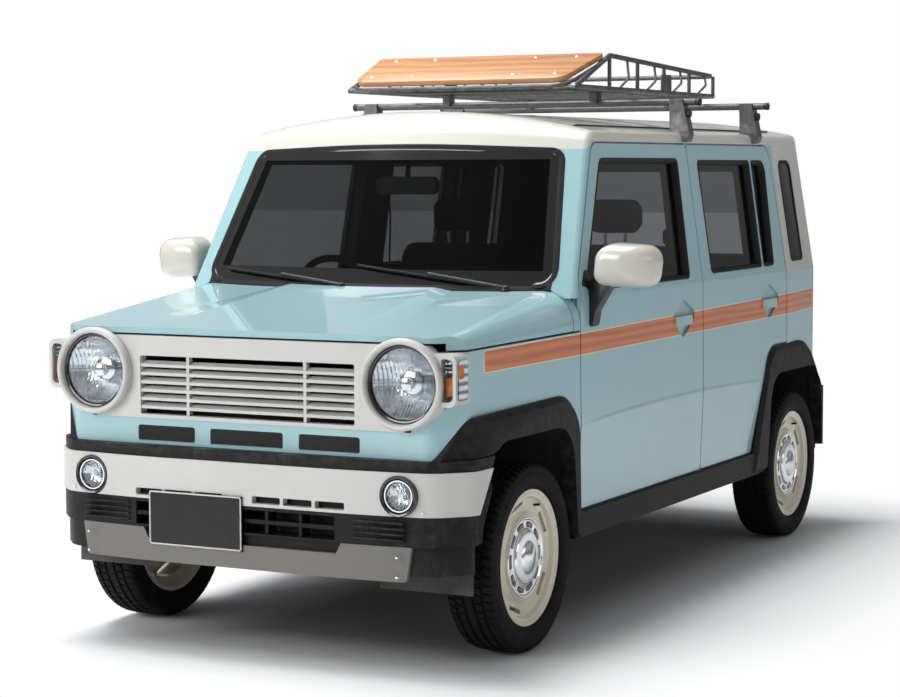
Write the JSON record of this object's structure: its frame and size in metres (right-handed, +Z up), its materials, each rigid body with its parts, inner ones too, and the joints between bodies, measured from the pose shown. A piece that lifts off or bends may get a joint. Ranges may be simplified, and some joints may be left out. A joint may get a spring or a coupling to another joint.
{
  "type": "kei car",
  "caption": "Small boxy five-door car with opening doors, bonnet and tailgate, steered slotted wheels, arch cladding, a furnished cabin and a roof basket.",
  "frame": {"origin": "on the ground below the middle of the car's length and width", "axes": "+X the car's left, -Y its front, +Z up"},
  "size_m": [1.887, 3.395, 1.8706],
  "materials": {
    "blue_paint": "gloss, pale blue",
    "white_paint": "gloss, warm white",
    "silver_paint": "satin silver",
    "body_inner": "satin, inner panels",
    "charcoal_trim": "grained",
    "black_trim": "grained",
    "dash_plastic": "soft grain",
    "tinted_glass": "tinted",
    "lamp_glass": "clear, patterned",
    "red_lens": "moulded lens",
    "plate_paint": "blank plate",
    "engine_iron": "as cast",
    "chassis_steel": "black coated",
    "rack_steel": "grey coated",
    "tan_board": "oiled",
    "tyre": "matte",
    "cream_steel": "gloss cream",
    "seat_fabric": "woven"
  },
  "bodies": {
    "body": {"floor_pan": "body_inner", "side_frame_left": "blue_paint", "side_frame_right": "blue_paint", "roof_shell": "white_paint", "fixed_glass": "tinted_glass", "front_fenders": "blue_paint", "cowl": "black_trim", "nose_panel": "blue_paint", "grille_panel": "silver_paint", "front_lamps": "lamp_glass", "front_bumper": "charcoal_trim", "bumper_band": "silver_paint", "fog_lamps": "lamp_glass", "skid_plate": "silver_paint", "number_plate": "plate_paint", "cladding_left": "charcoal_trim", "cladding_right": "charcoal_trim", "tail_lamps": "red_lens", "rear_bumper": "charcoal_trim", "front_structure": "body_inner", "engine_block": "engine_iron", "front_suspension": "chassis_steel", "rear_axle": "chassis_steel", "exhaust": "chassis_steel", "dashboard": "dash_plastic", "front_seats": "seat_fabric", "rear_seat": "seat_fabric", "rear_view_mirror": "black_trim", "roof_rack": "rack_steel", "rack_board": "tan_board"},
    "door_front_left": {"door_front_left": "blue_paint", "door_front_glass_left": "tinted_glass", "door_mirror_left": "white_paint"},
    "door_rear_left": {"door_rear_left": "blue_paint", "door_rear_glass_left": "tinted_glass"},
    "knuckle_left": {"knuckle_left": "chassis_steel"},
    "wheel_front_left": {"tyre_front_left": "tyre", "rim_front_left": "cream_steel"},
    "wheel_rear_left": {"tyre_rear_left": "tyre", "rim_rear_left": "cream_steel"},
    "door_front_right": {"door_front_right": "blue_paint", "door_front_glass_right": "tinted_glass", "door_mirror_right": "white_paint"},
    "door_rear_right": {"door_rear_right": "blue_paint", "door_rear_glass_right": "tinted_glass"},
    "knuckle_right": {"knuckle_right": "chassis_steel"},
    "wheel_front_right": {"tyre_front_right": "tyre", "rim_front_right": "cream_steel"},
    "wheel_rear_right": {"tyre_rear_right": "tyre", "rim_rear_right": "cream_steel"},
    "bonnet": {"bonnet": "blue_paint"},
    "tailgate": {"tailgate": "blue_paint", "tailgate_glass": "tinted_glass"},
    "steering_wheel": {"steering_wheel": "black_trim"}
  },
  "joints": [
    {"name": "front_door_hinge_left", "type": "hinge", "parent": "body", "child": "door_front_left", "pos_m": [0.724, -0.806, 0.9], "axis": [0, 0, -1], "range_deg": [0, 70]},
    {"name": "rear_door_hinge_left", "type": "hinge", "parent": "body", "child": "door_rear_left", "pos_m": [0.724, 0.265, 0.9], "axis": [0, 0, -1], "range_deg": [0, 70]},
    {"name": "front_door_hinge_right", "type": "hinge", "parent": "body", "child": "door_front_right", "pos_m": [-0.724, -0.806, 0.9], "axis": [0, 0, 1], "range_deg": [0, 70]},
    {"name": "rear_door_hinge_right", "type": "hinge", "parent": "body", "child": "door_rear_right", "pos_m": [-0.724, 0.265, 0.9], "axis": [0, 0, 1], "range_deg": [0, 70]},
    {"name": "bonnet_hinge", "type": "hinge", "parent": "body", "child": "bonnet", "pos_m": [0, -0.862, 1.112], "axis": [-1, 0, 0], "range_deg": [0, 50]},
    {"name": "tailgate_hinge", "type": "hinge", "parent": "body", "child": "tailgate", "pos_m": [0, 1.54, 1.66], "axis": [1, 0, 0], "range_deg": [0, 80]},
    {"name": "steering_swivel_left", "type": "hinge", "parent": "body", "child": "knuckle_left", "pos_m": [0.585, -1.1675, 0.29], "axis": [0, 0, 1], "range_deg": [-35, 35]},
    {"name": "front_wheel_spin_left", "type": "hinge", "parent": "knuckle_left", "child": "wheel_front_left", "pos_m": [0.645, -1.1675, 0.2895], "axis": [1, 0, 0], "continuous": true},
    {"name": "rear_wheel_spin_left", "type": "hinge", "parent": "body", "child": "wheel_rear_left", "pos_m": [0.645, 1.2575, 0.2895], "axis": [1, 0, 0], "continuous": true},
    {"name": "steering_swivel_right", "type": "hinge", "parent": "body", "child": "knuckle_right", "pos_m": [-0.585, -1.1675, 0.29], "axis": [0, 0, 1], "range_deg": [-35, 35]},
    {"name": "front_wheel_spin_right", "type": "hinge", "parent": "knuckle_right", "child": "wheel_front_right", "pos_m": [-0.645, -1.1675, 0.2895], "axis": [1, 0, 0], "continuous": true},
    {"name": "rear_wheel_spin_right", "type": "hinge", "parent": "body", "child": "wheel_rear_right", "pos_m": [-0.645, 1.2575, 0.2895], "axis": [1, 0, 0], "continuous": true},
    {"name": "steering_wheel_turn", "type": "hinge", "parent": "body", "child": "steering_wheel", "pos_m": [-0.352, -0.452, 1.008], "axis": [0, 0.9063, 0.4226], "range_deg": [-525, 525]}
  ],
  "couplings": [
    {"joint": "steering_swivel_right", "follows": "steering_swivel_left", "ratio": 1},
    {"joint": "steering_wheel_turn", "follows": "steering_swivel_left", "ratio": -15}
  ]
}
